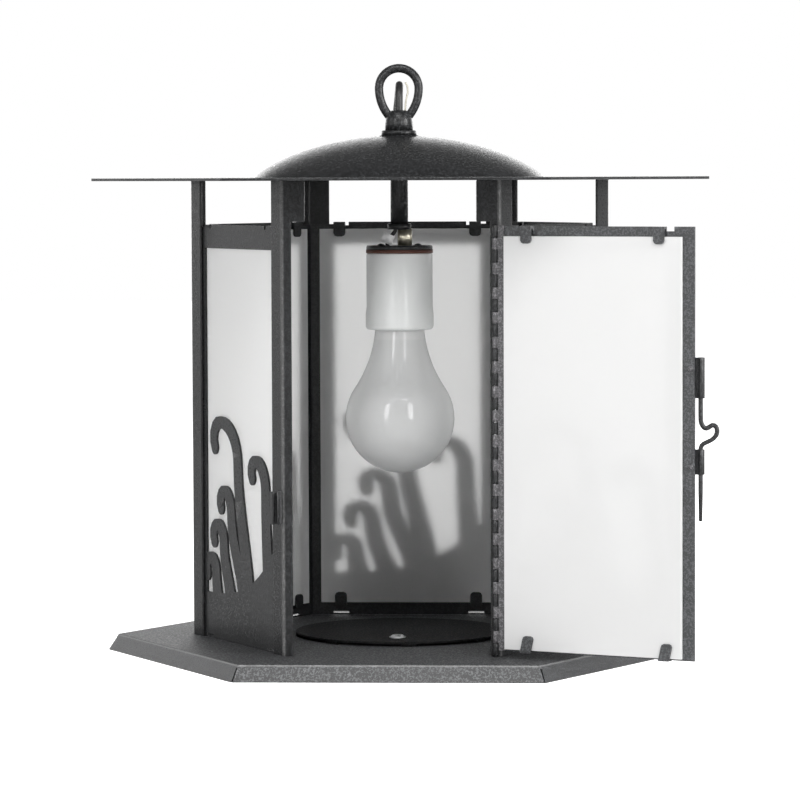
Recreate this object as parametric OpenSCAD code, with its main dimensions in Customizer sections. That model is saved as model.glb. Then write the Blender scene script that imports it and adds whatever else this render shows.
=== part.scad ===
// Hexagonal sheet-steel pendant lantern with a hinged front door, drawn in millimetres.
// The origin is the centre of the base at its lower edge, +Z is up and the door side faces -Y.

/* [Body] */
// Corner radius of the body, from the axis to the outer corner of a post
body_r = 115; // [108:1:122]
// Thickness of the post sheet
post_t = 1.5; // [1:0.1:2]
// Width of a post flange along each side
post_flange = 12.5; // [10:0.5:14]
// Width of the front flange left beside the door
door_jamb = 5.3; // [4.5:0.1:7]
// Height by which the narrow jamb runs above the panels
jamb_over = 2.2; // [1.5:0.1:5]

/* [Base] */
// Corner radius of the flat top of the base
base_r = 156.7; // [150:1:165]
// Extra corner radius of the skirt at its lower edge
base_flare = 5.9; // [3:0.1:9]
// Height of the base
base_h = 8.8; // [7:0.1:14]
// Thickness of the base sheet
base_t = 1.5; // [1:0.1:2]
// Width of the open mitre at each skirt corner
skirt_slit = 0.8; // [0.4:0.1:1.5]
// Radius of the vent hole in the base
vent_r = 44; // [20:1:50]
// Radius of the floor cover
cover_r = 58; // [54:1:64]
// Thickness of the floor cover
cover_t = 1.2; // [0.8:0.1:2]
// Height of the feet under the floor cover
cover_foot_h = 1.2; // [0.8:0.1:3]
// Number of feet under the floor cover
cover_feet = 8; // [6:1:10]

/* [Roof] */
// Corner radius of the roof plate
roof_r = 170; // [160:1:185]
// Thickness of the roof plate
roof_t = 1.5; // [1:0.1:2.5]
// Height of the roof plate's underside above the lower edge of the base
roof_z = 259.4; // [240:1:280]
// Radius of the dome at its rim
dome_r = 79.2; // [70:1:90]
// Height of the dome
dome_h = 22.9; // [18:0.5:30]
// Thickness of the dome
dome_t = 1.2; // [0.8:0.1:2]

/* [Loop and stem] */
// Radius of the collar on the dome
collar_r = 9.65; // [9:0.1:10.5]
// Height of the collar
collar_h = 2.8; // [2:0.1:4]
// Radius of the boss under the loop
boss_r = 7.65; // [7:0.1:8.5]
// Height of the boss
boss_h = 11; // [9:0.5:13]
// Thickness of the loop's rod
loop_wire = 4.75; // [4:0.1:5.2]
// Half width of the loop, to the middle of its rod
loop_half = 10.9; // [10:0.1:13]
// Radius of the curve of the loop's lower arms
loop_arm_r = 23.7; // [22:0.1:26]
// Radius of the stem pipe
stem_r = 4.8; // [4.2:0.1:5.2]
// Bore radius of the stem pipe
stem_bore = 3.5; // [3.4:0.05:3.8]
// Radial play of the thin parts that sit on the stem
stem_play = 0.1; // [0.05:0.05:0.3]
// Radius of the collar at the lower end of the stem
stem_collar_r = 6.5; // [6:0.1:8]
// Height of the collar at the lower end of the stem
stem_collar_h = 3; // [2:0.1:5]
// Radius of the flex
flex_r = 2.2; // [1.9:0.1:2.3]

/* [Socket and bulb] */
// Radius of the porcelain at its top
socket_r = 18.2; // [17:0.1:20]
// Extra radius of the porcelain at its foot
socket_flare = 0.5; // [0:0.1:1]
// Height of the porcelain
socket_h = 42.1; // [38:0.1:48]
// Distance from the roof plate's underside down to the porcelain's foot
socket_drop = 82.1; // [78:0.1:90]
// Thickness of the fibre washer
washer_t = 1.9; // [1:0.1:2.5]
// Thickness of the socket cap
cap_t = 2.3; // [1.5:0.1:3]
// Length of the nipple between the cap and the stem
nipple_h = 8.8; // [7:0.1:12]
// Radius of the nipple
nipple_r = 4; // [3.2:0.1:4]
// Sideways offset of the nipple from the axis
nipple_x = 3; // [2:0.1:3.2]
// Radius of the bulb at its widest
bulb_r = 30; // [28:0.5:31]
// Radius of the bulb's neck
bulb_neck_r = 13.3; // [12.8:0.1:13.4]
// Radius of the bulb's screw cap
bulb_cap_r = 13; // [12.6:0.1:13.1]
// Distance from the socket's foot down to the widest part of the bulb
bulb_drop = 48.9; // [44:0.5:54]

/* [Panels] */
// Gap between the top of the panels and the roof plate
vent_gap = 23.9; // [18:0.5:32]
// Thickness of the fretwork sheet
fret_t = 1.2; // [0.8:0.1:1.6]
// Height of the band across the top of a panel
header_h = 12.8; // [9:0.5:18]
// Width of a panel's upright edges
stile_w = 13.5; // [12.5:0.5:16]
// Thickness of the diffusers
diffuser_t = 1.8; // [1.5:0.1:2.2]
// Width of steel beside a diffuser, on the back of a panel
diffuser_side = 5.2; // [4.5:0.1:7]
// Steel left showing above the diffusers of the fixed panels
diffuser_below_top = 4; // [3:0.5:6]
// Distance from the middle of a panel to its clip tabs
tab_x = 39; // [34:0.5:42]
// Width of the clip tabs
tab_w = 6.8; // [5:0.2:8]
// Reach of the clip tabs over the face of the diffuser
tab_drop = 7.4; // [6:0.2:12]
// Length of a panel's upper clip tabs over the face of the diffuser
tab_top_drop = 8.4; // [6:0.2:12]

/* [Scroll work] */
// Height of the lowest scroll
scroll_low = 44; // [40:1:50]
// Height by which each scroll rises above the one before
scroll_step = 18.8; // [16:0.2:21]
// Width of the scroll fingers where they run upright
scroll_w = 10; // [7:0.5:10.5]
// Height of the solid steel at the low end
mass_low = 25; // [20:1:30]
// Extra height of the solid steel at the high end
mass_rise = 44; // [34:1:52]

/* [Door] */
// Distance of the hinge axis from the front corner, measured along the front
hinge_in = 2.7; // [2.6:0.1:4]
// Distance of the hinge axis in front of the posts
hinge_out = 1.7; // [1.6:0.05:2]
// Radius of the hinge knuckles
knuckle_r = 1.45; // [1.3:0.05:1.5]
// Radius of the hinge pin
hinge_pin_r = 0.6; // [0.5:0.05:0.7]
// Running clearance of the hinge pin
hinge_play = 0.05; // [0.03:0.01:0.08]
// Number of hinge knuckles
knuckles = 35; // [25:2:41]
// Gap between neighbouring knuckles
knuckle_gap = 0.3; // [0.2:0.05:0.5]
// Thickness of the hinge leaves
leaf_t = 0.9; // [0.7:0.05:1]
// Overhang of the door beyond the front left corner
door_over = 0.8; // [0.5:0.1:1.5]
// Angle by which the door stands open
door_open = 155.2; // [120:0.1:165]
// Gap between the lower edge of the door and the base
door_lift = 3.6; // [2:0.1:6]
// Steel left showing above the door's diffuser
door_rail = 5.2; // [4:0.2:9]
// Width of the door's sheet beside its diffuser, on the latch side
door_stile = 6.5; // [5.5:0.1:12]
// Distances of the door's lower clip tabs from the hinge axis
door_tabs_low = [18.1, 97];
// Distances of the door's upper clip tabs from the hinge axis
door_tabs_high = [18.9, 94.3];
// Width of the door's clip tabs
door_tab_w = 6; // [5:0.2:7]
// Reach of the door's clip tabs over the face of the diffuser
door_tab_drop = 9; // [7:0.2:12]
// Sideways lean of the door's clip tabs
door_tab_lean = 1.6; // [0:0.1:2]

/* [Latch] */
// Radius of the latch rod
rod_r = 1.2; // [0.9:0.05:1.3]
// Play of the rod in its guides
rod_play = 0.3; // [0.2:0.05:0.5]
// Wall of the rolled guides
guide_wall = 0.6; // [0.5:0.05:1]
// Distance of the rod beyond the edge of the door
rod_beyond = 2.35; // [2.25:0.05:3]
// Distance of the rod in front of the hinge axis plane
rod_out = 3; // [2.6:0.05:4.2]
// Height of the upper guide above the base
guide_high = 138.9; // [130:1:150]
// Length of the upper guide
guide_high_h = 20.8; // [15:0.5:24]
// Height of the lower guide above the base
guide_low = 99.7; // [95:0.1:105]
// Length of the lower guide
guide_low_h = 13; // [10:0.5:16]
// Depth of the rod's bent handle
handle_reach = 8.4; // [7:0.1:10]
// Height of the rod's bent handle
handle_h = 23; // [18:0.5:26]
// Height of the keeper above the base
keeper_z = 70.1; // [60:1:80]
// Height of the keeper
keeper_h = 17.3; // [12:0.5:20]
// Distance of the keeper's web from the front left corner, measured along the side
keeper_in = 0.1; // [0:0.1:1]
// Width of the open slot along the keeper's rolled end, less than the rod
keeper_slot = 1.9; // [1.2:0.1:2]
// Width of the keeper's foot
keeper_foot = 9; // [7:0.5:10]
// Depth to which the rod's end drops into the keeper
rod_engage = 11.7; // [6:0.1:13]

/* [Flex] */
// Mean radius of the flex's coil
coil_r = 25; // [23:0.5:27]
// Number of turns side by side in the coil
coil_cols = 3; // [2:1:3]
// Number of layers in the coil
coil_rows = 4; // [3:1:5]

/* [Hidden] */
$fn = 64;
touch = 0.02;

// Scroll fingers: places of their tips, radii of their curls, and widths and falls of their bows
small_x = -37;
small_pitch = 9;
middle_x = 21;
large_x = -24;
curl_r = 5.8;
large_curl_r = 9;
small_bow = 6.5;
small_fall = 8;
middle_bow = 12;
middle_fall = 16;
large_bow = 22;
small_drift = 7;

// Heights of the body
apothem = body_r * cos(30);
panel_top = roof_z - vent_gap;
floor_z = base_h;
roof_top = roof_z + roof_t;
dome_top = roof_top + dome_h;

// Fretwork panel and diffuser planes, as distances from the axis to the side
panel_out = apothem - post_t;
panel_in = panel_out - fret_t;
panel_half = panel_in * tan(30) - 0.25;
diffuser_w = 2 * (panel_half - diffuser_side);
side_turn = 60;
panel_foot = 0.1;
panel_h = panel_top - floor_z - panel_foot;
diffuser_foot = 7;
diffuser_h = panel_h - diffuser_foot - diffuser_below_top;
tab_t = 1.2;
tab_gap = 0.05;
tab_relief = 1.8;
tab_relief_h = 4;
tab_window_h = 1;
tab_window_w = 9;

// Stem, loop and socket heights
boss_z = dome_top + collar_h;
boss_top = boss_z + boss_h;
loop_rise = 12.1;
loop_z = boss_top + loop_rise;
thread_depth = boss_h * 0.45;
socket_foot = roof_z - socket_drop;
socket_top = socket_foot + socket_h;
washer_top = socket_top + washer_t;
cap_top = washer_top + cap_t;
stem_foot = cap_top + nipple_h;
shell_wall = 0.7;
shell_rise = 7;
shell_play = 1.2;
well_r = bulb_cap_r + 0.3 + shell_wall;
well_h = socket_h * 0.83;
bulb_z = socket_foot - bulb_drop;
bulb_cap_rise = 6;
bulb_cap_z = socket_foot + bulb_cap_rise;
bulb_cap_h = 24;
wire_r = 1;
wire_x = -2.05;
wire_y = 1.15;
ground_r = 0.5;
ground_x = boss_r * 0.5 - 0.3;
ground_y = 0.3;
ground_seat = 2;

// Door and latch
hinge_x = body_r / 2 - hinge_in;
hinge_y = -apothem - hinge_out;
door_w = body_r / 2 + hinge_x + door_over;
closed_gap = 0.3;
door_diffuser_in = closed_gap - hinge_out;
door_sheet_in = door_diffuser_in + diffuser_t;
door_sheet_out = door_sheet_in + fret_t;
door_start = 3.4;
door_z = floor_z + door_lift;
door_h = panel_top - 0.2 - door_z;
door_diffuser_x = 5.6;
door_diffuser_w = door_w - door_diffuser_x - door_stile;
door_mid = (door_start + door_w) / 2 - 2;
door_ledge = -0.4;
door_diffuser_foot = door_ledge + tab_t + tab_gap;
door_notch_w = 4.6;
door_notch_h = 2.4;
door_diffuser_h = door_h - door_diffuser_foot - door_rail;
leaf_in = 2;
leaf_reach = 5.4;
hinge_z = floor_z + 1;
hinge_h = panel_top + 0.3 - hinge_z;
knuckle_pitch = hinge_h / knuckles;
rod_x = door_w + rod_beyond;
guide_r = rod_r + rod_play + guide_wall;
guide_low_top = floor_z + guide_low + guide_low_h;
keeper_top = floor_z + keeper_z + keeper_h;
rod_foot = keeper_top - rod_engage;
rod_below = 0.3;
rod_top = floor_z + guide_high + guide_high_h - rod_below;
guide_slot = 1;
handle_z = guide_low_top + 0.4;
handle_turn = 27;
rod_taper = 16;

// Route of the free flex: up through the loop and over, then down the back of the dome to the coil
arch_points = [
    [0, 0, 297.7], [0, 0, 300], [0, 0.2, 303], [0, 1.4, 306.6], [0, 4, 309.7], [-0.1, 7.6, 311.5],
    [-0.3, 11.4, 311.4], [-0.6, 15, 309.6], [-1, 17.6, 306.6], [-1.4, 18.8, 303], [-1.9, 19, 298.6],
    [-2.5, 19.6, 294.1], [-3.5, 21.8, 289.9], [-5, 25.6, 286.8]
];
tail_points = [[-25.4, 82.4, 263.8], [-27.4, 87, 263.3], [-28.8, 91.6, 263.2], [-29.4, 95.9, 263.2]];
coil_y = 112;
coil_w = 2 * flex_r * (1 + 1.01 * (coil_cols - 1));
coil_h = 2 * flex_r * (1 + 1.01 * (coil_rows - 1));
tie_play = 0.3;
tie_t = 0.8;
end_turn = 25.7;
end_tail = 17;
end_reach = 9;
end_r = 0.8;

// Colours as the photograph shows them
steel = [0.24, 0.24, 0.25];
zinc = [0.72, 0.73, 0.74];

// Turns a side that is drawn as the front one to its place round the axis
module on_side(turn) {
    rotate([0, 0, turn])
        children();
}

// Draws in the door's own frame: x runs from the hinge axis along the door, y points out of its front
module on_door() {
    translate([hinge_x, hinge_y, 0])
        rotate([0, 0, 180 + door_open])
            children();
}

// A flat hexagonal sheet with its corners on the X axis
module hexagon(r, h) {
    cylinder(r = r, h = h, $fn = 6);
}

// Smooth curve through a list of points, n steps between each two
function spline_point(p, i, t) =
    let (a = p[max(i - 1, 0)], b = p[i], c = p[i + 1], d = p[min(i + 2, len(p) - 1)])
        0.5 * (2 * b + (c - a) * t + (2 * a - 5 * b + 4 * c - d) * pow(t, 2)
            + (3 * b - 3 * c + d - a) * pow(t, 3));
function spline(p, n) =
    concat([for (i = [0:len(p) - 2]) for (k = [0:n - 1]) spline_point(p, i, k / n)], [p[len(p) - 1]]);

// Tube of round section that follows a list of points, its rings square to the path and its radius r
// either one number or one for each point
function unit(v) = v / norm(v);
function route_dir(p, i) = unit(p[min(i + 1, len(p) - 1)] - p[max(i - 1, 0)]);
function side_axis(d) = unit(cross(d, abs(d[0]) < 0.9 ? [1, 0, 0] : [0, 1, 0]));
module tube_along(p, r, sides) {
    rings = [
        for (i = [0:len(p) - 1])
            let (d = route_dir(p, i), u = side_axis(d), v = cross(d, u))
                for (k = [0:sides - 1])
                    p[i] + (is_list(r) ? r[i] : r) * (cos(360 * k / sides) * u + sin(360 * k / sides) * v)
    ];
    walls = [
        for (i = [0:len(p) - 2])
            for (k = [0:sides - 1])
                let (a = i * sides + k, b = i * sides + (k + 1) % sides)
                    [a, a + sides, b + sides, b]
    ];
    ends = [
        [for (k = [0:sides - 1]) k],
        [for (k = [sides - 1:-1:0]) (len(p) - 1) * sides + k]
    ];
    polyhedron(points = rings, faces = concat(walls, ends));
}

// Folded corner post: two flanges that meet at 120 degrees, its corner at the given angle
module post_section(left, right) {
    corner = [body_r, 0];
    inner = [body_r - post_t / cos(30), 0];
    left_dir = [cos(120), sin(120)];
    right_dir = [cos(120), -sin(120)];
    left_in = post_t * [cos(210), sin(210)];
    right_in = post_t * [cos(150), sin(150)];
    polygon([
        corner + right * right_dir, corner, corner + left * left_dir,
        corner + left * left_dir + left_in, inner, corner + right * right_dir + right_in
    ]);
}

// Cuts the flange on a post's left side back to the given width, up to the jamb height
module flange_cut(width, height) {
    translate([body_r, 0, floor_z - 1])
        rotate([0, 0, 120])
            translate([width, -post_t, 0])
                cube([post_flange, 3 * post_t, height + 1]);
}

// A post, with the flanges on its two sides below the jamb height, and both of full width above it
module post(angle, left, right) {
    notch_h = panel_top + jamb_over - floor_z;
    color(steel)
        rotate([0, 0, angle])
            difference() {
                translate([0, 0, floor_z])
                    linear_extrude(roof_z - floor_z)
                        post_section(post_flange, post_flange);
                if (left < post_flange)
                    flange_cut(left, notch_h);
                if (right < post_flange)
                    mirror([0, 1, 0])
                        flange_cut(right, notch_h);
            }
}

// Clip tab: a ledge that runs over the edge of the diffuser and an upright with clipped corners, which
// leans sideways by the given amount
module clip_tab(width, depth, drop, lean) {
    half = width / 2;
    clip = width * 0.28;
    translate([-half, 0, 0])
        cube([width, depth + tab_t, tab_t]);
    translate([0, depth + tab_t, 0])
        rotate([90, 0, 0])
            linear_extrude(tab_t)
                polygon([
                    [-half, 0], [half, 0], [half + lean, drop - clip],
                    [half + lean - 0.3 * clip, drop - 0.3 * clip], [half + lean - clip, drop],
                    [lean + clip - half, drop],
                    [lean + 0.3 * clip - half, drop - 0.3 * clip], [lean - half, drop - clip]
                ]);
}

// Tips of the scrolls: two large ones beside three small ones
small_tips = [for (i = [0:2]) [small_x + small_pitch * i, scroll_low + scroll_step * i]];
middle_tip = [middle_x, scroll_low + 3 * scroll_step];
large_tip = [large_x, scroll_low + 4 * scroll_step];

// Centre line of one scroll finger: a small turn to the left, a wide one to the right, then the stem
function finger_line(top, left, right, fall, drift) = concat(
    [for (i = [0:5]) let (a = 215 - 25 * i) top + left * [cos(a), sin(a) - 1]],
    [for (i = [1:8]) let (a = 90 - 90 * i / 8) top + [right * cos(a), fall * (sin(a) - 1)]],
    [
        for (i = [1:8])
            let (q = i / 8, low = mass_low - 6)
                [top[0] + right + drift * q * q * (3 - 2 * q), (top[1] - fall) * (1 - q) + low * q]
    ]
);
// Half width of the brush: thin where it runs level, full where it runs upright, wider at the root
function finger_half(p, i) =
    let (d = route_dir(p, i), root = max(0, i - 13) / 8)
        scroll_w / 2 * (0.62 + 0.38 * abs(d[1])) * (0.8 + 0.2 * min(1, i / 5)) * (1 + 0.3 * root);
function finger_side(p, i, side) =
    let (d = route_dir(p, i))
        p[i] + side * finger_half(p, i) * [-d[1], d[0]];
module scroll_finger(top, left, right, fall, drift) {
    line = finger_line(top, left, right, fall, drift);
    n = len(line) - 1;
    one = [for (i = [0:n]) finger_side(line, i, 1)];
    other = [for (i = [n:-1:0]) finger_side(line, i, -1)];
    polygon(concat(one, other));
    translate(line[0])
        circle(finger_half(line, 0), $fn = 24);
}

// Solid lower part of the fretwork, its upper edge rising in a smooth curve to the right
module scroll_mass() {
    half = panel_half;
    steps = 18;
    edge = [
        for (i = [steps:-1:0])
            [half * (2 * i / steps - 1), mass_low + mass_rise * pow(i / steps, 3.5)]
    ];
    polygon(concat([[-half, 0], [half, 0]], edge));
}

// The whole fretwork sheet in its own plane, x from the middle and y up from its foot
module fretwork(height) {
    across = 2 * panel_half;
    open_w = across - 2 * stile_w;
    difference() {
        translate([-panel_half, 0])
            square([across, height]);
        translate([-open_w / 2, -1])
            square([open_w, height - header_h + 1]);
    }
    intersection() {
        translate([-panel_half, 0])
            square([across, height - header_h]);
        union() {
            scroll_mass();
            for (i = [0:2])
                scroll_finger(
                    small_tips[i], curl_r, small_bow + i, small_fall + 2.5 * i, small_drift * (i + 0.3)
                );
            scroll_finger(middle_tip, curl_r, middle_bow, middle_fall, small_drift / 2);
            scroll_finger(large_tip, large_curl_r, large_bow, large_bow, 2 * small_drift);
        }
    }
}

// A fixed fretwork panel with relief notches, windows and four clip tabs, drawn as the front side
module fret_panel(turn, flip) {
    depth = fret_t + diffuser_t + tab_gap;
    ledge = diffuser_foot - tab_t - 0.1;
    color(steel)
        on_side(turn)
            translate([0, -panel_out, floor_z + panel_foot]) {
                difference() {
                    translate([0, fret_t, 0])
                        rotate([90, 0, 0])
                            linear_extrude(fret_t)
                                mirror([flip, 0])
                                    fretwork(panel_h);
                    for (side = [-1, 1]) {
                        translate([side * (tab_x - (tab_w + tab_relief) / 2), 0, panel_h])
                            cube([tab_relief, 4 * fret_t, tab_relief_h], center = true);
                        translate([side * (tab_x + tab_w / 2 + panel_half / 2), 0, panel_h])
                            cube([panel_half, 4 * fret_t, tab_relief_h - 1.4], center = true);
                        translate([side * tab_x - tab_window_w / 2, -fret_t, 0.8])
                            cube([tab_window_w, 3 * fret_t, tab_window_h]);
                    }
                }
                for (side = [-1, 1]) {
                    translate([side * tab_x, fret_t - touch, ledge])
                        clip_tab(tab_w, depth - fret_t + touch, tab_drop, 0);
                    translate([side * tab_x, fret_t - touch, panel_h])
                        mirror([0, 0, 1])
                            clip_tab(tab_w, depth - fret_t + touch, tab_top_drop, 0);
                }
            }
}

// White acrylic sheet behind a fixed panel
module diffuser(turn) {
    color([0.93, 0.93, 0.92])
        on_side(turn)
            translate([-diffuser_w / 2, -panel_in, floor_z + panel_foot + diffuser_foot])
                cube([diffuser_w, diffuser_t, diffuser_h]);
}

// Profile of the dome: height over a radius, full towards the rim
function dome_z(r, big, high) = high * pow(max(0, 1 - pow(r / big, 2)), 0.8);
function dome_edge(big, high, n) = [
    for (i = [0:n])
        let (r = big * sin(90 * i / n))
            [r, dome_z(r, big, high)]
];

// Point at a flex's half width and a hair above the dome, at radius r and bearing a behind the axis
function over_dome(r, a) =
    let (z = dome_z(r, dome_r, dome_h), slope = z - dome_z(r + 1, dome_r, dome_h), n = norm([1, slope]))
        let (off = flex_r + 0.25, out = r + off * slope / n)
            [-out * sin(a), out * cos(a), roof_top + z + off / n];
flex_route = concat(arch_points, [for (r = [31:5.75:77]) over_dome(r, 11.5 + (r - 31) / 8)], tail_points);

module roof_plate() {
    color(steel)
        difference() {
            translate([0, 0, roof_z])
                hexagon(roof_r, roof_t);
            translate([0, 0, roof_z - 1])
                cylinder(r = stem_r + stem_play, h = roof_t + 2);
        }
}

module roof_dome() {
    outer = dome_edge(dome_r, dome_h, 22);
    inner = dome_edge(dome_r - dome_t * 1.6, dome_h - dome_t, 22);
    flat = collar_r + 1.2;
    color(steel)
        translate([0, 0, roof_top])
            difference() {
                union() {
                    rotate_extrude()
                        polygon(concat(outer, [for (i = [22:-1:0]) inner[i]]));
                    translate([0, 0, dome_h - dome_t])
                        cylinder(r = flat, h = dome_t);
                }
                translate([0, 0, dome_h - 2 * dome_t])
                    cylinder(r = stem_r + stem_play, h = 3 * dome_t);
                translate([0, 0, dome_h])
                    cylinder(r = flat, h = dome_t);
            }
}

module loop_collar() {
    edge = 0.5;
    color(steel)
        translate([0, 0, dome_top])
            rotate_extrude()
                polygon([
                    [stem_r + stem_play, 0], [collar_r, 0], [collar_r, collar_h - edge],
                    [collar_r - edge, collar_h], [stem_r + stem_play, collar_h]
                ]);
}

// One lower arm of the loop, an arc that runs from its widest place down into the boss
module loop_arm() {
    drop = loop_z - boss_top + boss_h * 0.28;
    translate([loop_half - loop_arm_r, 0, loop_z])
        rotate([90, 0, 0])
            rotate([0, 0, -asin(drop / loop_arm_r)])
                rotate_extrude(angle = asin(drop / loop_arm_r))
                    translate([loop_arm_r, 0])
                        circle(loop_wire / 2, $fn = 32);
}

module hanging_loop() {
    color(steel)
        difference() {
            union() {
                translate([0, 0, boss_z])
                    rotate_extrude()
                        polygon([
                            [0, 0], [boss_r, 0], [boss_r, boss_h * 0.35], [boss_r * 0.96, boss_h * 0.55],
                            [boss_r * 0.87, boss_h * 0.74], [boss_r * 0.74, boss_h * 0.89],
                            [boss_r * 0.58, boss_h * 0.98], [boss_r * 0.5, boss_h], [0, boss_h]
                        ]);
                loop_arm();
                mirror([1, 0, 0])
                    loop_arm();
                translate([0, 0, loop_z])
                    rotate([90, 0, 0])
                        rotate_extrude(angle = 180)
                            translate([loop_half, 0])
                                circle(loop_wire / 2, $fn = 32);
                for (side = [-1, 1])
                    translate([side * loop_half, 0, loop_z])
                        sphere(loop_wire / 2 + touch);
            }
            translate([0, 0, boss_z - 1])
                cylinder(r = stem_r + hinge_play, h = thread_depth + 1);
            translate([0, 0, boss_z])
                cylinder(r = flex_r + 0.2, h = boss_h + 1);
            translate([ground_x, ground_y, boss_top - ground_seat])
                cylinder(r = ground_r + hinge_play, h = boss_h);
        }
}

module stem_pipe() {
    top = boss_z + thread_depth - 0.2;
    color(steel)
        translate([0, 0, stem_foot])
            difference() {
                cylinder(r = stem_r, h = top - stem_foot);
                translate([0, 0, -1])
                    cylinder(r = stem_bore, h = top - stem_foot + 2);
            }
}

module stem_locknut() {
    across = 9.2;
    color(zinc)
        translate([0, 0, roof_top])
            difference() {
                cylinder(r = across, h = 4.5, $fn = 6);
                translate([0, 0, -1])
                    cylinder(r = stem_r + hinge_play, h = 7);
            }
}

module stem_collar() {
    color(steel)
        translate([0, 0, stem_foot])
            difference() {
                cylinder(r = stem_collar_r, h = stem_collar_h);
                translate([0, 0, -1])
                    cylinder(r = stem_r + hinge_play, h = stem_collar_h + 2);
            }
}

module socket_nipple() {
    color([0.78, 0.70, 0.52])
        translate([nipple_x, 0, cap_top])
            difference() {
                cylinder(r = nipple_r, h = nipple_h);
                translate([0, 0, -1])
                    cylinder(r = nipple_r * 0.6, h = nipple_h + 2);
            }
}

// Two black leads that come up out of the cap, pass beside the nipple and run into the stem
module lead_wires() {
    outlet = -wire_x + 4.6;
    color([0.08, 0.08, 0.09])
        for (side = [-1, 1])
            tube_along([
                [-outlet, side * wire_y * 1.5, cap_top],
                [-outlet, side * wire_y * 1.5, cap_top + 0.2 * nipple_h],
                [-outlet + 0.4, side * wire_y * 1.4, cap_top + 0.35 * nipple_h],
                [-outlet + 1.5, side * wire_y * 1.25, cap_top + 0.52 * nipple_h],
                [wire_x - 1.5, side * wire_y * 1.1, cap_top + 0.7 * nipple_h],
                [wire_x - 0.4, side * wire_y, cap_top + 0.87 * nipple_h],
                [wire_x, side * wire_y, stem_foot + 0.5],
                [wire_x, side * wire_y, stem_foot + stem_collar_h]
            ], wire_r, 8);
}

// Small blank tag that is folded round the leads
module wire_tag() {
    tag_w = 6.4;
    tag_h = 5.4;
    color([0.95, 0.95, 0.95])
        translate([wire_x - 4.2, -wire_y * 1.4 - wire_r - 0.65, cap_top + 0.42 * nipple_h])
            rotate([0, 24, 0])
                translate([-tag_w / 2, -0.25, -tag_h / 2])
                    cube([tag_w, 0.5, tag_h]);
}

module stem_flex() {
    foot = stem_foot + stem_collar_h;
    color([0.08, 0.08, 0.09])
        translate([0, 0, foot])
            cylinder(r = flex_r, h = flex_route[0][2] - foot, $fn = 24);
}

module socket_cap() {
    rim = 0.8;
    color(steel)
        translate([0, 0, washer_top])
            rotate_extrude()
                polygon([
                    [0, 0], [socket_r, 0], [socket_r, cap_t - rim], [socket_r - rim / 2, cap_t],
                    [socket_r - 2 * rim, cap_t], [socket_r - 2.5 * rim, cap_t - rim / 2],
                    [boss_r, cap_t - rim / 2], [boss_r - 0.5, cap_t], [0, cap_t]
                ]);
}

module cap_rivets() {
    reach = 0.56 * socket_r;
    color(steel)
        for (x = [-reach, reach])
            translate([x, 0, cap_top - 0.4])
                rotate_extrude()
                    polygon([[0, 0], [2.3, 0], [2.1, 0.6], [1.5, 1.1], [0.7, 1.4], [0, 1.5]]);
}

module socket_washer() {
    color([0.42, 0.16, 0.09])
        translate([0, 0, socket_top])
            cylinder(r = socket_r + 0.2, h = washer_t);
}

// Porcelain: straight sides with a slight flare, rounded foot, and a well for the screw shell
module socket_body() {
    foot_r = socket_r + socket_flare;
    round_r = 2.2;
    lip = [
        for (i = [0:6])
            let (a = -90 + 15 * i)
                [foot_r - round_r + round_r * cos(a), round_r + round_r * sin(a)]
    ];
    color([0.93, 0.93, 0.91])
        translate([0, 0, socket_foot])
            rotate_extrude()
                polygon(concat(
                    [[well_r, 0]],
                    lip,
                    [
                        [foot_r, socket_h * 0.2], [socket_r, socket_h * 0.3], [socket_r, socket_h - 0.8],
                        [socket_r - 0.8, socket_h], [0, socket_h], [0, well_h], [well_r, well_h]
                    ]
                ));
}

module socket_shell() {
    color([0.75, 0.70, 0.55])
        translate([0, 0, socket_foot + shell_rise])
            difference() {
                cylinder(r = well_r, h = well_h - shell_rise - shell_play);
                translate([0, 0, -1])
                    cylinder(r = well_r - shell_wall, h = well_h);
            }
}

module socket_contact() {
    tip = bulb_cap_z + bulb_cap_h + 0.05;
    color([0.78, 0.70, 0.52])
        translate([0, 0, tip])
            cylinder(r = 4, h = socket_foot + well_h - tip);
}

// Bulb outline: a sphere below, a hollow curve that is tangent to it, the neck, and the screw cap
module bulb() {
    rise = 54.5;
    blend = (bulb_neck_r * bulb_neck_r + rise * rise - bulb_r * bulb_r) / (2 * (bulb_r - bulb_neck_r));
    join = atan2(rise, bulb_neck_r + blend);
    ball = [for (i = [0:18]) let (a = -90 + (90 + join) * i / 18) bulb_r * [cos(a), sin(a)]];
    hollow = [
        for (i = [1:10])
            let (a = 180 + join - join * i / 10)
                [bulb_neck_r + blend + blend * cos(a), rise + blend * sin(a)]
    ];
    cap = bulb_cap_z - bulb_z;
    color([0.95, 0.96, 0.97])
        translate([0, 0, bulb_z])
            rotate_extrude()
                polygon(concat(ball, hollow, [
                    [bulb_cap_r, cap], [bulb_cap_r, cap + bulb_cap_h - 5],
                    [bulb_cap_r - 2, cap + bulb_cap_h - 3], [5, cap + bulb_cap_h - 1],
                    [4.5, cap + bulb_cap_h], [0, cap + bulb_cap_h]
                ]));
}

module base_pan() {
    foot_r = base_r + base_flare;
    wall = base_t / cos(30);
    color(steel)
        difference() {
            cylinder(r1 = foot_r, r2 = base_r, h = base_h, $fn = 6);
            translate([0, 0, -touch])
                cylinder(
                    r1 = foot_r - wall, r2 = base_r - wall + base_flare * base_t / base_h,
                    h = base_h - base_t + touch, $fn = 6
                );
            translate([0, 0, -1])
                cylinder(r = vent_r, h = base_h + 2);
            for (a = [0:60:300])
                rotate([0, 0, a])
                    translate([base_r - wall - 1, -skirt_slit / 2, -1])
                        cube([2 * base_flare + wall + 4, skirt_slit, base_h - base_t + 0.7]);
        }
}

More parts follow.
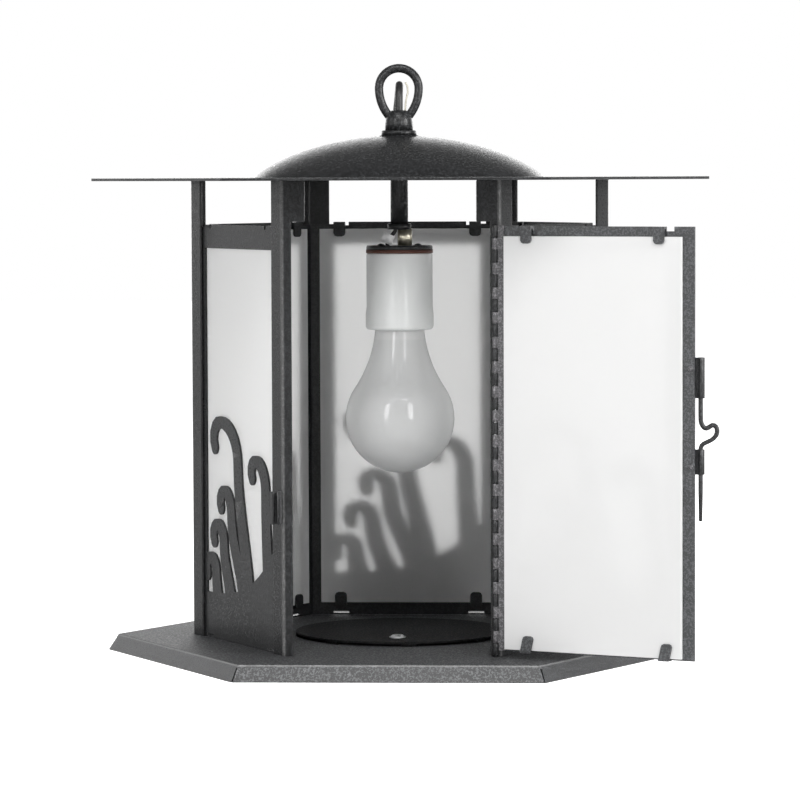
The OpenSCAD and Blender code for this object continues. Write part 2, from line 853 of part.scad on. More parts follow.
module floor_cover() {
    foot_w = 8;
    color(steel)
        difference() {
            translate([0, 0, floor_z]) {
                translate([0, 0, cover_foot_h])
                    cylinder(r = cover_r, h = cover_t, $fn = 96);
                intersection() {
                    cylinder(r = cover_r, h = cover_foot_h + touch, $fn = 96);
                    for (i = [0:cover_feet - 1])
                        rotate([0, 0, -83 + 360 * i / cover_feet])
                            translate([vent_r + 4, -foot_w / 2, 0])
                                cube([cover_r, foot_w, cover_foot_h + touch]);
                }
            }
            translate([0, -cover_r * 0.64, floor_z - 1])
                cylinder(r = 2, h = 5);
        }
}

module cover_screw() {
    color(zinc)
        translate([0, -cover_r * 0.64, floor_z + cover_foot_h + cover_t])
            difference() {
                union() {
                    cylinder(r = 4.5, h = 0.6);
                    translate([0, 0, 0.6])
                        cylinder(r1 = 4.2, r2 = 2.8, h = 1.1);
                    translate([0, 0, -cover_t - cover_foot_h])
                        cylinder(r = 1.9, h = cover_t + cover_foot_h + touch);
                }
                translate([-5, -0.45, 0.9])
                    cube([10, 0.9, 2]);
            }
}

// Fretwork sheet of the door, narrower on the hinge side, with notches beside its upper tabs
module door_sheet() {
    difference() {
        translate([door_mid, door_sheet_out, 0])
            rotate([90, 0, 0])
                linear_extrude(fret_t)
                    intersection() {
                        union() {
                            fretwork(door_h);
                            translate([panel_half - stile_w, 0])
                                square([door_w - door_mid - panel_half + stile_w, door_h]);
                        }
                        translate([door_start - door_mid, 0])
                            square([door_w - door_start, door_h]);
                    }
        for (s = door_tabs_high)
            translate([s + door_tab_w / 2, door_sheet_in - 1, door_h - door_notch_h])
                cube([door_notch_w, fret_t + 2, door_notch_h + 1]);
    }
}

module door_panel() {
    over = fret_t + diffuser_t + tab_gap;
    color(steel)
        on_door()
            translate([0, 0, door_z]) {
                door_sheet();
                for (s = door_tabs_low)
                    translate([s, door_sheet_out, door_ledge])
                        rotate([0, 0, 180])
                            clip_tab(door_tab_w, over, door_tab_drop, -door_tab_lean);
                for (s = door_tabs_high)
                    translate([s, door_sheet_in + touch, door_h])
                        rotate([0, 0, 180])
                            mirror([0, 0, 1])
                                clip_tab(door_tab_w, over - fret_t + touch, door_tab_drop, 0);
            }
}

module door_diffuser() {
    color([0.95, 0.95, 0.95])
        on_door()
            translate([door_diffuser_x, door_diffuser_in, door_z + door_diffuser_foot])
                cube([door_diffuser_w, diffuser_t, door_diffuser_h]);
}

// Every second knuckle of the piano hinge, as tubes round the pin with their links to the leaf
module knuckle_row(first, link) {
    for (i = [first:2:knuckles - 1])
        translate([0, 0, i * knuckle_pitch + knuckle_gap / 2])
            difference() {
                union() {
                    cylinder(r = knuckle_r, h = knuckle_pitch - knuckle_gap, $fn = 32);
                    translate([0, link, 0])
                        cube([leaf_in + touch, leaf_t, knuckle_pitch - knuckle_gap]);
                }
                translate([0, 0, -1])
                    cylinder(r = hinge_pin_r + hinge_play, h = knuckle_pitch + 2, $fn = 32);
            }
}

module hinge_leaf_post() {
    seat = hinge_out - leaf_t;
    color(steel)
        translate([hinge_x, hinge_y, hinge_z]) {
            knuckle_row(0, seat);
            translate([leaf_in, seat, 0])
                cube([hinge_in - leaf_in - 0.2, leaf_t, hinge_h]);
        }
}

module hinge_leaf_door() {
    seat = door_sheet_in - leaf_t;
    color([0.36, 0.35, 0.34])
        on_door()
            translate([0, 0, hinge_z]) {
                knuckle_row(1, seat);
                translate([leaf_in, seat, door_z - hinge_z])
                    cube([leaf_reach - leaf_in, leaf_t, hinge_h - door_z + hinge_z]);
            }
}

module hinge_pin() {
    color(zinc)
        translate([hinge_x, hinge_y, floor_z])
            cylinder(r = hinge_pin_r, h = hinge_z + hinge_h - floor_z, $fn = 32);
}

// Rolled guide: a tube with an open seam on a flat foot that lies against the sheet
module rolled_guide(height, foot, seat) {
    difference() {
        union() {
            cylinder(r = guide_r, h = height, $fn = 40);
            translate([-foot, -seat, 0])
                cube([foot, guide_wall, height]);
        }
        translate([0, 0, -1]) {
            cylinder(r = rod_r + rod_play, h = height + 2, $fn = 40);
            translate([-guide_slot / 2, -guide_r - 1, 0])
                cube([guide_slot, guide_r + 1, height + 2]);
        }
    }
}

module latch_guide(z, height) {
    color(steel)
        on_door()
            translate([rod_x, rod_out, floor_z + z])
                rolled_guide(height, 7, rod_out - door_sheet_out);
}

// Rivets of the guides, with a head on each face
module latch_screws() {
    color([0.32, 0.32, 0.32])
        on_door()
            for (z = [guide_high + 0.72 * guide_high_h, guide_low + 0.3 * guide_low_h])
                translate([rod_x - 4.6, 0, floor_z + z]) {
                    translate([0, door_sheet_out + guide_wall, 0])
                        rotate([-90, 0, 0])
                            cylinder(r1 = 1.6, r2 = 1.1, h = 0.9);
                    translate([0, door_sheet_in, 0])
                        rotate([90, 0, 0])
                            cylinder(r1 = 1.4, r2 = 0.9, h = 0.8);
                }
}

// Rod with a hand-bent bow between its guides and a tapered tail that drops into the keeper
module latch_rod() {
    shape = [
        [0, 0], [0.03, 0.04], [0.15, 0.1], [0.46, 0.155], [0.8, 0.225], [0.97, 0.32], [1, 0.41],
        [0.92, 0.49], [0.72, 0.52], [0.51, 0.475], [0.35, 0.45], [0.2, 0.47], [0.06, 0.55],
        [0.01, 0.63], [0, 0.8], [0, 1]
    ];
    bow = spline([for (q = shape) [handle_reach * q[0], handle_z + handle_h * q[1]]], 2);
    tail = [[0, rod_foot], [0, rod_foot + 0.5], [0, rod_foot + rod_taper]];
    line = concat(tail, bow, [[0, rod_top]]);
    widths = concat([rod_r * 0.5, rod_r * 0.75], [for (i = [2:len(line) - 1]) rod_r]);
    color(steel)
        on_door()
            translate([rod_x, rod_out, 0])
                rotate([0, 0, handle_turn + 90])
                    tube_along([for (q = line) [0, -q[0], q[1]]], widths, 12);
}

// Keeper on the left flange of the front left post: foot, web and a rolled end that stands where the
// closed door brings the rod
module latch_keeper() {
    place_x = hinge_x - rod_x;
    place_y = hinge_y - rod_out;
    along = place_x * cos(side_turn) - place_y * sin(side_turn);
    across = place_x * sin(side_turn) + place_y * cos(side_turn);
    web_x = body_r / 2 - keeper_in - guide_wall;
    color(steel)
        on_side(-side_turn)
            translate([0, 0, floor_z + keeper_z])
                difference() {
                    union() {
                        translate([along, across, 0])
                            cylinder(r = guide_r, h = keeper_h, $fn = 40);
                        translate([web_x, across - guide_r, 0])
                            cube([along - web_x, guide_wall, keeper_h]);
                        translate([web_x, across - guide_r, 0])
                            cube([guide_wall, guide_r - across - apothem, keeper_h]);
                        translate([web_x + guide_wall - keeper_foot, -apothem - guide_wall, 0])
                            cube([keeper_foot, guide_wall, keeper_h]);
                    }
                    translate([along, across, -1]) {
                        cylinder(r = rod_r + rod_play, h = keeper_h + 2, $fn = 40);
                        rotate([0, 0, -side_turn / 2])
                            translate([0, -keeper_slot / 2, 0])
                                cube([guide_r + 1, keeper_slot, keeper_h + 2]);
                    }
                }
}

// Thin ground wire that comes out of a small hole in the boss beside the flex
module ground_wire() {
    side = ground_x;
    start = boss_top;
    color([0.80, 0.78, 0.70])
        tube_along([
            [side, ground_y, start - ground_seat], [side, ground_y, start + 1.5],
            [side + 0.2, ground_y, start + 4], [side + 0.7, ground_y + 0.1, start + 7],
            [side + 1.4, ground_y + 0.2, start + 10], [side + 1.2, ground_y + 0.3, start + 13],
            [side, ground_y + 0.4, start + 15.4]
        ], ground_r, 8);
}

module supply_flex() {
    color([0.08, 0.08, 0.09])
        tube_along(flex_route, flex_r, 10);
}

module supply_coil() {
    color([0.08, 0.08, 0.09])
        translate([0, coil_y, roof_top])
            rotate_extrude()
                translate([coil_r - coil_w / 2, 0])
                    square([coil_w, coil_h]);
}

// Strap that is laid over the coil
module coil_tie() {
    width = 3;
    color([0.16, 0.16, 0.17])
        translate([-width / 2, coil_y + coil_r, roof_top])
            difference() {
                translate([0, -coil_w / 2 - tie_play - tie_t, 0])
                    cube([width, coil_w + 2 * (tie_play + tie_t), coil_h + tie_play + tie_t]);
                translate([-1, -coil_w / 2 - tie_play, -1])
                    cube([width + 2, coil_w + 2 * tie_play, coil_h + tie_play + 1]);
            }
}

// Bare ends of the flex's two conductors, where it leaves the coil's top layer
module stripped_ends() {
    color([0.72, 0.45, 0.25])
        translate([0, coil_y, roof_top + coil_h - flex_r])
            rotate([0, 0, end_turn])
                for (side = [-1, 1])
                    translate([coil_r + coil_w / 2 - flex_r + side, -end_tail, 0])
                        rotate([90, 0, 0])
                            cylinder(r = end_r, h = end_reach);
}

roof_plate();
roof_dome();
loop_collar();
hanging_loop();
stem_pipe();
stem_locknut();
stem_collar();
socket_nipple();
lead_wires();
wire_tag();
stem_flex();
socket_cap();
cap_rivets();
socket_washer();
socket_body();
socket_shell();
socket_contact();
bulb();
base_pan();
floor_cover();
cover_screw();
post(240, door_jamb, post_flange);  // post_front_left
post(300, post_flange, door_jamb);  // post_front_right
post(0, post_flange, post_flange);  // post_right
post(60, post_flange, post_flange);  // post_rear_right
post(120, post_flange, post_flange);  // post_rear_left
post(180, post_flange, post_flange);  // post_left
fret_panel(-side_turn, 0);  // panel_front_left
fret_panel(-2 * side_turn, 1);  // panel_rear_left
fret_panel(3 * side_turn, 1);  // panel_rear
fret_panel(2 * side_turn, 0);  // panel_rear_right
fret_panel(side_turn, 1);  // panel_front_right
diffuser(-side_turn);  // diffuser_front_left
diffuser(-2 * side_turn);  // diffuser_rear_left
diffuser(3 * side_turn);  // diffuser_rear
diffuser(2 * side_turn);  // diffuser_rear_right
diffuser(side_turn);  // diffuser_front_right
door_panel();
door_diffuser();
hinge_leaf_post();
hinge_leaf_door();
hinge_pin();
latch_rod();
latch_guide(guide_high, guide_high_h);  // latch_guide_upper
latch_guide(guide_low, guide_low_h);  // latch_guide_lower
latch_screws();
latch_keeper();
ground_wire();
supply_flex();
supply_coil();
coil_tie();
stripped_ends();
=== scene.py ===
"""Looks of the hexagonal steel lantern: finishes, rounded sheet edges, the wound flex, light and camera."""

import math

import bpy
import numpy as np
from mathutils import Matrix, Vector


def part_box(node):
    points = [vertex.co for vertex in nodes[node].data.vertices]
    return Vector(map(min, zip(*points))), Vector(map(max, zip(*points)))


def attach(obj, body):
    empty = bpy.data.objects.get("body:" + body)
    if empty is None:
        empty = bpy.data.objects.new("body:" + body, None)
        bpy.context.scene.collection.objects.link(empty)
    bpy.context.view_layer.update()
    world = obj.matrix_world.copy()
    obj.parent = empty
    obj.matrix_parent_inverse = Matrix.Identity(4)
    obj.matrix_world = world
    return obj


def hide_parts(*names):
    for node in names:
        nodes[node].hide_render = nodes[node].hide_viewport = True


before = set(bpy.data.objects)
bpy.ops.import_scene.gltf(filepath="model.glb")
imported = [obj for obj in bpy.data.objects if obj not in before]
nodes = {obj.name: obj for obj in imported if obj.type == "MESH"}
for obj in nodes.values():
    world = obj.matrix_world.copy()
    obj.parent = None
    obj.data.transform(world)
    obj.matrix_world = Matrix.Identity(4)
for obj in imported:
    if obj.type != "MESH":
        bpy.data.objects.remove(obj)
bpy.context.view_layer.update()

MM = 0.001
PHOTO_SIDE = 800


# Camera


def place_camera():
    """A long lens 2.13 m in front of the lantern, a little to its right, tipped down by 3.3 degrees."""
    focal_px = 3880
    distance, height = 2.1342, 0.2617
    azimuth, pitch, roll = 0.0476, 0.0577, -0.0038
    lens = bpy.data.cameras.new("studio_camera")
    lens.sensor_width = 36
    lens.lens = focal_px / PHOTO_SIDE * lens.sensor_width
    lens.clip_start, lens.clip_end = 0.1, 60
    camera = bpy.data.objects.new("studio_camera", lens)
    bpy.context.scene.collection.objects.link(camera)
    where = (distance * math.sin(azimuth), -distance * math.cos(azimuth), height)
    camera.matrix_world = (
        Matrix.Translation(where)
        @ Matrix.Rotation(azimuth, 4, "Z")
        @ Matrix.Rotation(math.pi / 2 - pitch, 4, "X")
        @ Matrix.Rotation(roll, 4, "Z")
    )
    bpy.context.scene.camera = camera


place_camera()


# Free flex

ROOF_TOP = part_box("roof_plate")[1].z
DOME_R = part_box("roof_dome")[1].x
DOME_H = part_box("roof_dome")[1].z - ROOF_TOP
DOME_POWER = 0.8
FLEX_R, FLEX_LENGTH = 0.0022, 1.8
COIL_Y, COIL_R, COIL_TURNS = 0.112, 0.025, 11.4
STRAIGHT_END = 0.017

# Route of the flex in mm: through the loop and down beside it, then from the dome's foot to the coil
ARCH_POINTS = [
    (0, 0, 297.7), (0, 0, 300), (0, 0.2, 303), (0, 1.4, 306.6), (0, 4, 309.7), (-0.1, 7.6, 311.5),
    (-0.3, 11.4, 311.4), (-0.6, 15, 309.6), (-1, 17.6, 306.6), (-1.4, 18.8, 303), (-1.9, 19, 298.6),
    (-2.5, 19.6, 294.1), (-3.5, 21.8, 289.9), (-5, 25.6, 286.8),
]
TAIL_POINTS = [(-25.4, 82.4, 263.8), (-27.4, 87, 263.3), (-28.8, 91.6, 263.2), (-29.4, 95.9, 263.2)]


def over_dome(r, bearing):
    """Points a flex's half width above the dome, whose height is DOME_H (1 - (r / DOME_R)^2)^DOME_POWER."""
    clear = 0.00025
    inside = 1 - (r / DOME_R) ** 2
    rise = DOME_H * inside**DOME_POWER
    slope = 2 * DOME_POWER * DOME_H * r / DOME_R**2 * inside ** (DOME_POWER - 1)
    off = FLEX_R + clear
    out = r + off * slope / np.hypot(1, slope)
    up = ROOF_TOP + rise + off / np.hypot(1, slope)
    return np.stack([-out * np.sin(bearing), out * np.cos(bearing), up], axis=1)


def smooth_step(x):
    """0 below 0, 1 above 1, and 3x^2 - 2x^3 between."""
    x = np.clip(x, 0, 1)
    return x * x * (3 - 2 * x)


def coil_turns(turns):
    """Flat turns in three columns and four layers. Each turn keeps its radius and height but for one sixth
    of it, where it steps one column over or one layer up; each step is a smooth step of the angle."""
    layers, column_steps, points_per_turn = 4, 2, 48
    turn, step = 360, 60
    pitch = 2.02 * FLEX_R
    angle = np.linspace(0, turns * turn, int(turns * points_per_turn))
    r = np.full_like(angle, COIL_R + pitch)
    z = np.full_like(angle, ROOF_TOP + FLEX_R)
    start, inward = 0, -1
    for _layer in range(layers):
        for _column in range(column_steps):
            start += turn
            r += inward * pitch * smooth_step((angle - start + step) / step)
        z += pitch * smooth_step((angle - start - turn + 2 * step) / step)
        start += turn - 2 * step
        inward = -inward
    t = np.radians(angle)
    return np.stack([-r * np.cos(t), COIL_Y + r * np.sin(t), z], axis=1)


def trimmed(points, length):
    """The first part of a path that is as long as asked, its last point put exactly at that length."""
    steps = np.linalg.norm(np.diff(points, axis=0), axis=1)
    run = np.concatenate([[0], np.cumsum(steps)])
    n = int(np.searchsorted(run, length))
    share = (length - run[n - 1]) / (run[n] - run[n - 1])
    return np.vstack([points[:n], points[n - 1] + share * (points[n] - points[n - 1])])


def rounded_path(points, per_span):
    """Catmull-Rom curve: between points, the cubic whose slopes are half the chord of their neighbours."""
    p = np.vstack([2 * points[0] - points[1], points, 2 * points[-1] - points[-2]])
    t = np.linspace(0, 1, per_span, endpoint=False)[None, :, None]
    a, b, c, d = (p[i : len(p) - 3 + i, None, :] for i in range(4))
    curve = 0.5 * (2 * b + (c - a) * t + (2 * a - 5 * b + 4 * c - d) * t**2 + (3 * b - 3 * c + d - a) * t**3)
    return np.vstack([curve.reshape(-1, 3), points[-1:]])


def flex_path():
    """The whole flex: arch through the loop, down over the dome, along the roof plate and round the coil."""
    first_r, last_r, spacing = 31, 77, 5.75
    first_bearing, degrees_per_mm = 11.5, 0.125
    r = np.arange(first_r, last_r + spacing / 2, spacing)
    bearing = np.radians(first_bearing + (r - first_r) * degrees_per_mm)
    way = np.vstack([np.array(ARCH_POINTS) * MM, over_dome(r * MM, bearing), np.array(TAIL_POINTS) * MM])
    whole = np.vstack([rounded_path(way, per_span=4), coil_turns(COIL_TURNS)])
    wound = trimmed(whole, FLEX_LENGTH - STRAIGHT_END)
    last = wound[-1] - wound[-2]
    return np.vstack([wound, wound[-1] + STRAIGHT_END * last / np.linalg.norm(last)])


def round_cord(name, points, radius):
    """A round curve along the points, one open spline. The points carry the radius, so that the curve's
    bounds are those of the cord."""
    curve = bpy.data.curves.new(name, "CURVE")
    curve.dimensions = "3D"
    curve.bevel_depth = 1
    curve.bevel_resolution = 5
    curve.use_fill_caps = True
    spline = curve.splines.new("POLY")
    spline.points.add(len(points) - 1)
    spline.points.foreach_set("co", np.hstack([points, np.ones((len(points), 1))]).ravel())
    spline.points.foreach_set("radius", [radius] * len(points))
    piece = bpy.data.objects.new(name, curve)
    bpy.context.scene.collection.objects.link(piece)
    return piece


FLEX_POINTS = flex_path()
flex = round_cord("loose_flex", FLEX_POINTS, FLEX_R)
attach(flex, "lantern")
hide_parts("supply_flex", "supply_coil")


# Shader words


class Wire:
    """A socket's value that takes part in sums: each operator adds the Math node that it stands for."""

    def __init__(self, tree, socket):
        self.tree, self.socket = tree, socket

    def _sum(self, operation, *values):
        made = self.tree.nodes.new("ShaderNodeMath")
        made.operation = operation
        for place, value in zip(made.inputs, values):
            if isinstance(value, Wire):
                self.tree.links.new(value.socket, place)
            else:
                place.default_value = value
        return Wire(self.tree, made.outputs[0])

    def __add__(self, other):
        return self._sum("ADD", self, other)

    __radd__ = __add__

    def __sub__(self, other):
        return self._sum("SUBTRACT", self, other)

    def __rsub__(self, other):
        return self._sum("SUBTRACT", other, self)

    def __mul__(self, other):
        return self._sum("MULTIPLY", self, other)

    __rmul__ = __mul__

    def above(self, low, high):
        """0 below low, 1 above high, a smooth step between."""
        made = self.tree.nodes.new("ShaderNodeMapRange")
        made.interpolation_type = "SMOOTHSTEP"
        self.tree.links.new(self.socket, made.inputs["Value"])
        made.inputs["From Min"].default_value = low
        made.inputs["From Max"].default_value = high
        return Wire(self.tree, made.outputs["Result"])


class Finish:
    """A material in the making, or the world, with one method for every node that isn't a sum."""

    def __init__(self, owner):
        self.material = bpy.data.materials.new(owner) if isinstance(owner, str) else owner
        self.material.use_nodes = True
        self.tree = self.material.node_tree
        self.tree.nodes.clear()

    def node(self, kind, settings=None, inputs=None, out=0):
        """Adds a node of that type, with its settings first and then its sockets' values or links."""
        made = self.tree.nodes.new("ShaderNode" + kind)
        for key, value in (settings or {}).items():
            setattr(made, key, value)
        for key, value in (inputs or {}).items():
            if isinstance(value, Wire):
                self.tree.links.new(value.socket, made.inputs[key])
            else:
                made.inputs[key].default_value = value
        return Wire(self.tree, made.outputs[out])

    def place(self):
        """Object coordinates, which are the lantern's own frame in metres."""
        return self.node("TexCoord", out="Object")

    def axis(self, vector, letter):
        """One of a vector's numbers, by its letter."""
        return self.node("SeparateXYZ", {}, {0: vector}, letter)

    def noise(self, per_metre, detail=2.0, at=None):
        """Cloud noise with that many lumps to a metre, about 0 to 1."""
        inputs = {"Vector": at or self.place(), "Scale": per_metre, "Detail": detail, "Roughness": 0.5}
        return self.node("TexNoise", {}, inputs, "Fac")

    def mix(self, factor, first, second):
        """Colour between first and second."""
        made = self.tree.nodes.new("ShaderNodeMix")
        made.data_type = "RGBA"
        for place, value in ((0, factor), (6, first), (7, second)):
            if isinstance(value, Wire):
                self.tree.links.new(value.socket, made.inputs[place])
            else:
                made.inputs[place].default_value = value
        return Wire(self.tree, made.outputs[2])

    def bump(self, height, depth, strength=1.0):
        """Surface turned by a height that is 0 to 1 over a depth in metres."""
        return self.node("Bump", {}, {"Height": height, "Distance": depth, "Strength": strength})

    def surface(self, **sockets):
        """A Principled shader on those sockets, whose names have _ for a space."""
        return self.node("BsdfPrincipled", {}, {k.replace("_", " "): v for k, v in sockets.items()})

    def done(self, shader, kind="Material"):
        """Puts the shader on the output, and gives back the material."""
        out = self.tree.nodes.new("ShaderNodeOutput" + kind)
        self.tree.links.new(shader.socket, out.inputs["Surface"])
        return self.material


def rgb(level, red=1.0, green=1.0, blue=1.0):
    """A colour as four numbers, from a grey level and small shifts."""
    return (level * red, level * green, level * blue, 1.0)


# Finishes

CORNER_R = -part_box("post_left")[0].x
BASE_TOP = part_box("base_pan")[1].z
BULB_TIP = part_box("bulb")[0].z + 1.6 * MM
BULB_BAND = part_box("socket_body")[0].z - 5.7 * MM


def powder_coat(name, level, glint_strength=0.5, warm=1.0, shine=0.5, corner=None, top=None):
    """Charcoal coat with a fine pebbled grain: painted shade in the pits, painted glints on the tops, and a
    satin gloss that clouds a little. It has a painted highlight where the distance from the Z axis nears
    the corner's, and another painted highlight along a fold just under the top's height, and it is duller
    above that height."""
    f = Finish(name)
    grain = f.noise(1500)
    pebble = f.noise(820, 1.5)
    cloud = f.noise(22)
    relief = grain * 0.5 + pebble * 0.5
    # Painted shade in the grain's pits and painted glints on its tops: the colour is dark where the relief
    # is low and pale where it is high.
    tops = relief.above(0.49, 0.6)
    dark = rgb(level * 0.5, warm * 0.97, 1.0, 1.06)
    pale = rgb(level * (2 + 3 * glint_strength), warm * 0.97, 1.0, 1.05)
    colour = f.mix(tops * 0.8 + cloud * 0.2, dark, pale)
    rough = 0.33 - tops * 0.13 + cloud * 0.08
    if corner:
        # Painted highlight along the post corners: paler colour where the distance from the Z axis nears the
        # corner's.
        across = f.node("Mapping", {}, {"Vector": f.place(), "Scale": (1.0, 1.0, 0.0)})
        out = f.node("VectorMath", {"operation": "LENGTH"}, {0: across}, "Value")
        corner_highlight = out.above(corner - 0.9 * MM, corner - 0.3 * MM) * (tops * 0.5 + 0.5)
        colour = f.mix(corner_highlight, colour, rgb(level * 16))
        rough = rough - corner_highlight * 0.08
    if top:
        height = f.axis(f.place(), "Z")
        over = height.above(top - 0.3 * MM, top - 0.1 * MM)
        # Painted highlight along the fold just under the top's height: a paler band there, not wear.
        fold = height.above(top - 1.2 * MM, top - 0.6 * MM) * (1 - over)
        colour = f.mix(fold * (tops * 0.3 + 0.6), colour, rgb(level * 10))
        rough = rough + over * 0.3
    return f.done(f.surface(
        Base_Color=colour, Roughness=rough, Specular_IOR_Level=shine, Normal=f.bump(relief, 0.13 * MM, 0.8),
    ))


def acrylic(name, level, through):
    """White opal sheet: satin gloss over a body that passes a share of the light."""
    f = Finish(name)
    cloud = f.noise(14, 1.5)
    fine = f.noise(400, 1.0)
    body = f.mix(cloud, rgb(level * 0.985, blue=0.995), rgb(level))
    front = f.surface(
        Base_Color=body, Roughness=0.28 + cloud * 0.05, Specular_IOR_Level=0.4,
        Normal=f.bump(fine, 0.02 * MM, 0.3),
    )
    behind = f.node("BsdfTranslucent", {}, {"Color": body})
    return f.done(f.node("MixShader", {}, {0: through, 1: front, 2: behind}))


def bare_metal(name, colour, rough):
    """Plain metal with fine turning marks round Z and a cloudy gloss."""
    f = Finish(name)
    cloud = f.noise(180)
    long_round = f.node("Mapping", {}, {"Vector": f.place(), "Scale": (1.0, 1.0, 0.08)})
    marks = f.noise(2600, 1.0, at=long_round)
    tint = f.mix(cloud, tuple(0.82 * c for c in colour[:3]) + (1,), colour)
    return f.done(f.surface(
        Base_Color=tint, Metallic=1.0, Roughness=rough - 0.06 + cloud * 0.12,
        Normal=f.bump(marks, 0.03 * MM, 0.5),
    ))


def porcelain(name):
    """Glazed white porcelain: faint specks under a glaze that waves a little."""
    f = Finish(name)
    wave = f.noise(45, 1.5)
    speck = f.noise(900, 1.0).above(0.7, 0.8)
    tint = f.mix(wave * 0.6 + speck * 0.2, rgb(0.81, 0.985, 1.0, 0.995), rgb(0.76, 0.98, 1.0, 0.99))
    return f.done(f.surface(
        Base_Color=tint, Roughness=0.38 + wave * 0.1, Coat_Weight=0.25, Coat_Roughness=0.15,
        Normal=f.bump(wave, 0.4 * MM, 0.4),
    ))


def frosted_glass(name):
    """Bulb glass frosted inside, paler in a band at the neck and darker at the tip. It passes over half of
    the light, under a clear gloss."""
    f = Finish(name)
    height = f.axis(f.place(), "Z")
    band = height.above(BULB_BAND, BULB_BAND + 1 * MM)
    tip = 1 - height.above(BULB_TIP, BULB_TIP + 12 * MM)
    cloud = f.noise(35, 1.5)
    body = f.mix(band, rgb(0.95, 0.995), rgb(0.99))
    body = f.mix(tip * 0.25 + cloud * 0.05, body, rgb(0.6, 0.99))
    front = f.surface(Base_Color=body, Roughness=0.2, Coat_Weight=1.0, Coat_Roughness=0.03)
    behind = f.node("BsdfTranslucent", {}, {"Color": body})
    return f.done(f.node("MixShader", {}, {0: 0.57, 1: front, 2: behind}))


def soft_plastic(name, level, rough=0.45, red=1.0, green=1.0, blue=1.0):
    """Plain moulded or sleeved plastic with a fine grain."""
    f = Finish(name)
    fine = f.noise(700)
    cloud = f.noise(60)
    dark = rgb(level * 0.8, red, green, blue)
    pale = rgb(level * 1.2, red, green, blue)
    tint = f.mix(fine * 0.5 + cloud * 0.5, dark, pale)
    relief = f.bump(fine, 0.06 * MM, 0.5)
    return f.done(f.surface(Base_Color=tint, Roughness=rough + fine * 0.1, Normal=relief))


# One charcoal coat in lit and shaded copies: the posts, roof and floor cover carry painted shade (darker
# levels), the base and door panel painted light (paler levels).
STEEL = powder_coat("charcoal_coat", 0.011, 0.8, shine=0.32)
POST_STEEL_PAINTED_LIGHT = powder_coat("post_coat_painted_light", 0.008, 0.8, shine=0.3, corner=CORNER_R)
BASE_STEEL_PAINTED_LIGHT = powder_coat("base_coat_painted_light", 0.016, 1.2, shine=0.42, top=BASE_TOP)
ROOF_STEEL_PAINTED_SHADE = powder_coat("roof_coat_painted_shade", 0.01, 0.5, shine=0.26)
COVER_STEEL_PAINTED_SHADE = powder_coat("cover_coat_painted_shade", 0.004, shine=0.1, top=BASE_TOP)
DOOR_STEEL_PAINTED_LIGHT = powder_coat("door_coat_painted_light", 0.04, 0.35)
HINGE_STEEL = powder_coat("hinge_coat", 0.068, 0.25, 1.06)
ZINC = bare_metal("zinc_plate", (0.62, 0.63, 0.64, 1), 0.28)
BRASS = bare_metal("nickel_brass", (0.86, 0.81, 0.66, 1), 0.42)
COPPER = bare_metal("bare_copper", (0.72, 0.42, 0.26, 1), 0.32)
SHEET = acrylic("opal_sheet", 0.975, 0.6)
# Painted shade: the door's sheet is the same opal acrylic as the others, given a darker level.
DOOR_SHEET_PAINTED_SHADE = acrylic("door_opal_sheet_painted_shade", 0.725, 0.2)
PORCELAIN = porcelain("glazed_porcelain")
GLASS = frosted_glass("frosted_glass")
FIBRE = soft_plastic("red_fibre", 0.034, 0.6, 2.1, 0.7, 0.4)
FLEX = soft_plastic("flex_sleeve", 0.012, 0.4)
TAG = soft_plastic("blank_tag", 0.85, 0.5)
TIE = soft_plastic("coil_strap", 0.03, 0.5)
GROUND = soft_plastic("ground_sleeve", 0.52, 0.45, 1.05, 1.0, 0.85)

# Finish of each node by the start of its name; what isn't here has the plain charcoal coat
FINISHES = {
    "post_": POST_STEEL_PAINTED_LIGHT, "base_pan": BASE_STEEL_PAINTED_LIGHT, "roof_dome": ROOF_STEEL_PAINTED_SHADE, "loop_collar": ROOF_STEEL_PAINTED_SHADE,
    "stem_pipe": ROOF_STEEL_PAINTED_SHADE, "floor_cover": COVER_STEEL_PAINTED_SHADE, "door_panel": DOOR_STEEL_PAINTED_LIGHT, "diffuser_": SHEET,
    "door_diffuser": DOOR_SHEET_PAINTED_SHADE, "hinge_leaf_door": HINGE_STEEL, "latch_screws": HINGE_STEEL,
    "hinge_pin": ZINC, "stem_locknut": ZINC, "cover_screw": ZINC, "socket_nipple": BRASS,
    "socket_shell": BRASS, "socket_contact": BRASS, "lead_wires": FLEX, "stem_flex": FLEX, "wire_tag": TAG,
    "socket_washer": FIBRE, "socket_body": PORCELAIN, "bulb": GLASS, "ground_wire": GROUND,
    "stripped_ends": COPPER, "coil_tie": TIE,
}
SHEET_PIECES = (
    "post_", "panel_", "diffuser_", "roof_plate", "base_pan", "floor_cover", "door_panel", "door_diffuser",
    "latch_keeper", "latch_guide_", "hinge_leaf_",
)


def dress(name, node):
    """Joins a node's triangles, gives it its finish, and rounds it finely where it is cut from sheet."""
    node.data.materials.clear()
    node.data.materials.append(next((v for k, v in FINISHES.items() if name.startswith(k)), STEEL))
    weld = node.modifiers.new("weld", "WELD")
    weld.merge_threshold = 0.005 * MM
    if name.startswith(SHEET_PIECES):
        edge = node.modifiers.new("edge", "BEVEL")
        edge.offset_type = "DEPTH"
        edge.width, edge.segments = (0.45 * MM, 3) if name.startswith("post_") else (0.2 * MM, 2)
        edge.limit_method = "ANGLE"
        edge.angle_limit = math.radians(40)
    else:
        node.data.polygons.foreach_set("use_smooth", [True] * len(node.data.polygons))


for node_name, cad_node in nodes.items():
    dress(node_name, cad_node)
flex.data.materials.append(FLEX)


# Studio

AMBIENT = 0.28
LIT_HEIGHT = 0.14

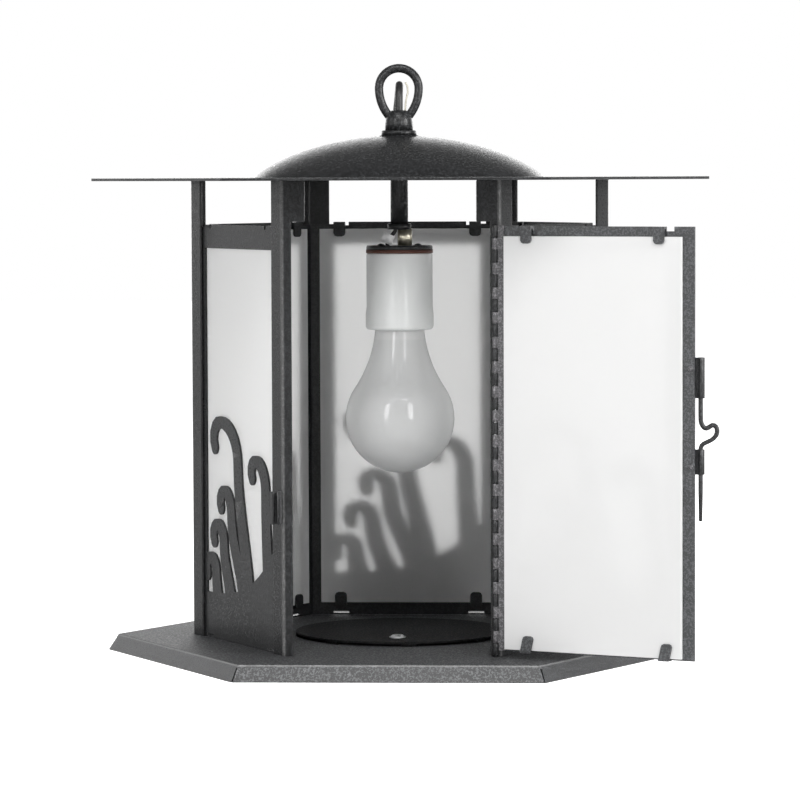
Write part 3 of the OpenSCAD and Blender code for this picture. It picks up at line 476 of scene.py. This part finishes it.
# Place, width and height, and power of each lamp; all shine at the middle of the lantern
LAMPS = {
    "back_softbox": ((0.0, 1.7, 0.35), (3.2, 1.0), 26),
    "left_softbox": ((-1.8, -0.9, 0.7), (1.0, 1.2), 8),
    "right_softbox": ((1.8, -0.9, 0.7), (1.0, 1.2), 41),
    "top_softbox": ((0.0, -1.35, 1.8), (1.3, 0.7), 20),
    "left_strip": ((-0.92, -1.88, 0.75), (0.36, 1.25), 12.5),
    "right_strip": ((0.92, -1.88, 0.75), (0.36, 1.25), 12.5),
}


def white_floor():
    """A pale matte floor that looks white to the camera, out to the horizon."""
    reach = 6
    corners = [(-reach, -reach, 0), (reach, -reach, 0), (reach, reach, 0), (-reach, reach, 0)]
    mesh = bpy.data.meshes.new("studio_floor")
    mesh.from_pydata(corners, [], [(0, 1, 2, 3)])
    floor = bpy.data.objects.new("studio_floor", mesh)
    bpy.context.scene.collection.objects.link(floor)
    f = Finish("floor_white")
    camera = f.node("LightPath", out="Is Camera Ray")
    glow = f.node("Emission", {}, {"Color": rgb(1.0), "Strength": camera * 0.92})
    matte = f.node("BsdfDiffuse", {}, {"Color": rgb(0.8)})
    mesh.materials.append(f.done(f.node("AddShader", {}, {0: glow, 1: matte})))


def white_world():
    """Surroundings that light softly. They look white to the camera, and to gloss and glass where they lie
    low behind the lantern."""
    world = bpy.data.worlds.new("studio_world")
    world.use_nodes = True
    bpy.context.scene.world = world
    w = Finish(world)
    camera = w.node("LightPath", out="Is Camera Ray")
    gloss = w.node("LightPath", out="Is Glossy Ray")
    glass = w.node("LightPath", out="Is Transmission Ray")
    way = w.node("TexCoord", out="Generated")
    behind = w.axis(way, "Y").above(0.2, 0.5) * (1 - w.axis(way, "Z").above(0.2, 0.5))
    seen = camera + (gloss + glass) * behind
    strength = AMBIENT + seen * (1 - AMBIENT)
    w.done(w.node("Background", {}, {"Color": rgb(1.0), "Strength": strength}), "World")


def hang_lamps():
    """Six soft lamps: one behind, one at each side, and in front one above and two upright strips."""
    for name, (where, size, power) in LAMPS.items():
        light = bpy.data.lights.new(name, "AREA")
        light.shape, light.size, light.size_y = "RECTANGLE", *size
        light.energy = power
        lamp = bpy.data.objects.new(name, light)
        bpy.context.scene.collection.objects.link(lamp)
        aim = Vector((0, 0, LIT_HEIGHT)) - Vector(where)
        lamp.matrix_world = Matrix.Translation(where) @ aim.to_track_quat("-Z", "Y").to_matrix().to_4x4()
        lamp.visible_camera = False


white_floor()
white_world()
hang_lamps()
bpy.context.scene.view_settings.view_transform = "Standard"
